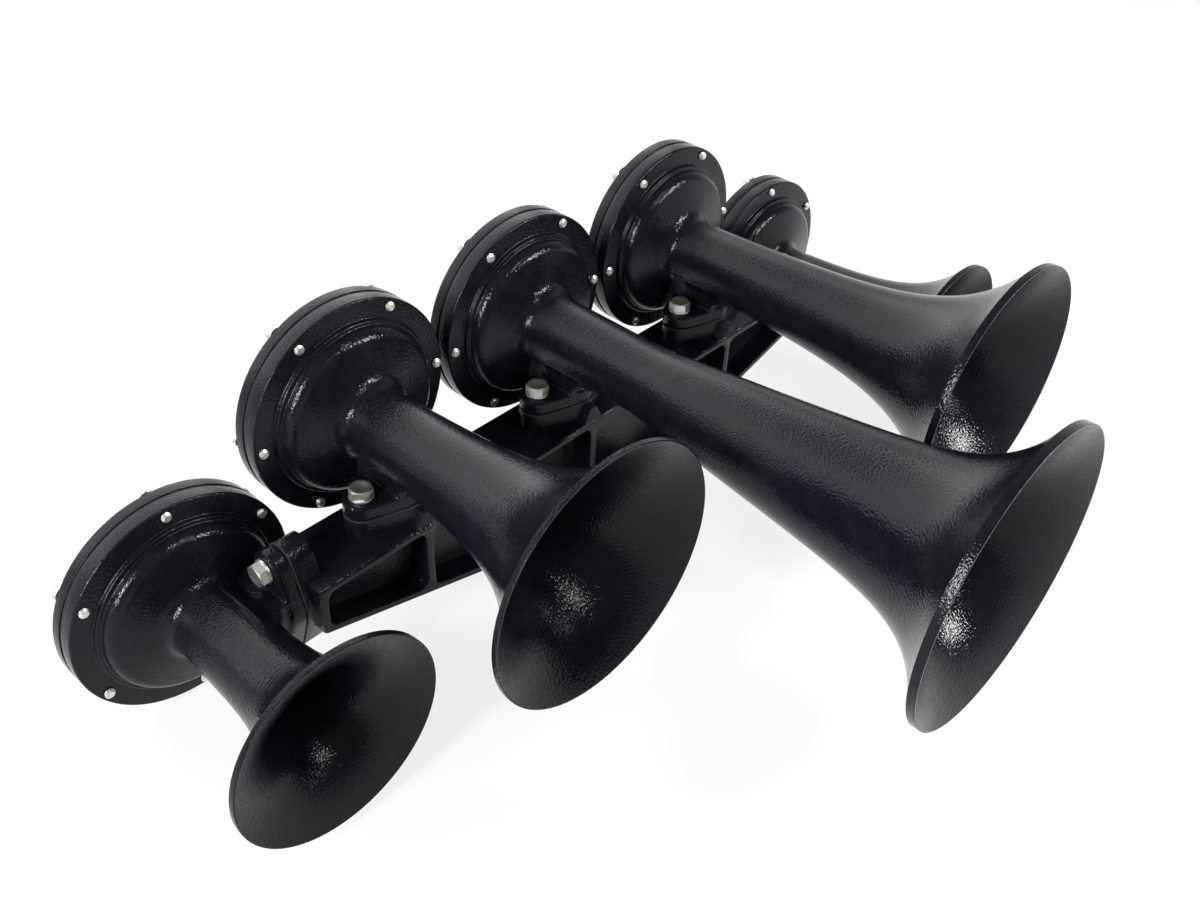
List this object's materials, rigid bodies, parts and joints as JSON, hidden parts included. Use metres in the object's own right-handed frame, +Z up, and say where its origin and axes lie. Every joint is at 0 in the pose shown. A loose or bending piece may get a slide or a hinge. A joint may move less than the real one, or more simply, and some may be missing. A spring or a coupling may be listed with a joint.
{
  "type": "train air horn",
  "caption": "Five-chime train air horn: flared bells of different length with round diaphragm chambers, bolted to a ribbed cast manifold with a base flange.",
  "frame": {"origin": "centre of the base's underside, at the mouth of the threaded air inlet", "axes": "+X along the manifold, to the right of someone who looks into the bells' mouths; the bells face -Y; +Z is up"},
  "size_m": [0.6696, 0.3757, 0.2285],
  "materials": {
    "black_casting": "gloss black paint with a fine orange-peel texture over a casting",
    "plated_steel": "bright zinc plate",
    "gasket_sheet": "matt dark sheet",
    "spring_steel": "bare spring steel"
  },
  "bodies": {
    "horn_assembly": {"manifold": "black_casting", "bell_1": "black_casting", "back_cover_1": "black_casting", "front_gasket_1": "gasket_sheet", "rear_gasket_1": "gasket_sheet", "cover_screws_1": "plated_steel", "cover_washers_1": "plated_steel", "foot_gasket_1": "gasket_sheet", "foot_bolts_1": "plated_steel", "foot_washers_1": "plated_steel", "bell_2": "black_casting", "back_cover_2": "black_casting", "front_gasket_2": "gasket_sheet", "rear_gasket_2": "gasket_sheet", "cover_screws_2": "plated_steel", "cover_washers_2": "plated_steel", "foot_gasket_2": "gasket_sheet", "foot_bolts_2": "plated_steel", "foot_washers_2": "plated_steel", "bell_3": "black_casting", "back_cover_3": "black_casting", "front_gasket_3": "gasket_sheet", "rear_gasket_3": "gasket_sheet", "cover_screws_3": "plated_steel", "cover_washers_3": "plated_steel", "foot_gasket_3": "gasket_sheet", "foot_bolts_3": "plated_steel", "foot_washers_3": "plated_steel", "bell_4": "black_casting", "back_cover_4": "black_casting", "front_gasket_4": "gasket_sheet", "rear_gasket_4": "gasket_sheet", "cover_screws_4": "plated_steel", "cover_washers_4": "plated_steel", "foot_gasket_4": "gasket_sheet", "foot_bolts_4": "plated_steel", "foot_washers_4": "plated_steel", "bell_5": "black_casting", "back_cover_5": "black_casting", "front_gasket_5": "gasket_sheet", "rear_gasket_5": "gasket_sheet", "cover_screws_5": "plated_steel", "cover_washers_5": "plated_steel", "foot_gasket_5": "gasket_sheet", "foot_bolts_5": "plated_steel", "foot_washers_5": "plated_steel"},
    "diaphragm_body_1": {"diaphragm_1": "spring_steel"},
    "diaphragm_body_2": {"diaphragm_2": "spring_steel"},
    "diaphragm_body_3": {"diaphragm_3": "spring_steel"},
    "diaphragm_body_4": {"diaphragm_4": "spring_steel"},
    "diaphragm_body_5": {"diaphragm_5": "spring_steel"}
  },
  "joints": [
    {"name": "diaphragm_lift_1", "type": "slide", "parent": "horn_assembly", "child": "diaphragm_body_1", "axis": [0, 1, 0], "range_m": [0, 0.0006], "stiffness_N_per_m": 50000, "deforming": ["diaphragm_1"]},
    {"name": "diaphragm_lift_2", "type": "slide", "parent": "horn_assembly", "child": "diaphragm_body_2", "axis": [0, 1, 0], "range_m": [0, 0.0006], "stiffness_N_per_m": 50000, "deforming": ["diaphragm_2"]},
    {"name": "diaphragm_lift_3", "type": "slide", "parent": "horn_assembly", "child": "diaphragm_body_3", "axis": [0, 1, 0], "range_m": [0, 0.0006], "stiffness_N_per_m": 50000, "deforming": ["diaphragm_3"]},
    {"name": "diaphragm_lift_4", "type": "slide", "parent": "horn_assembly", "child": "diaphragm_body_4", "axis": [0, 1, 0], "range_m": [0, 0.0006], "stiffness_N_per_m": 50000, "deforming": ["diaphragm_4"]},
    {"name": "diaphragm_lift_5", "type": "slide", "parent": "horn_assembly", "child": "diaphragm_body_5", "axis": [0, 1, 0], "range_m": [0, 0.0006], "stiffness_N_per_m": 50000, "deforming": ["diaphragm_5"]}
  ]
}
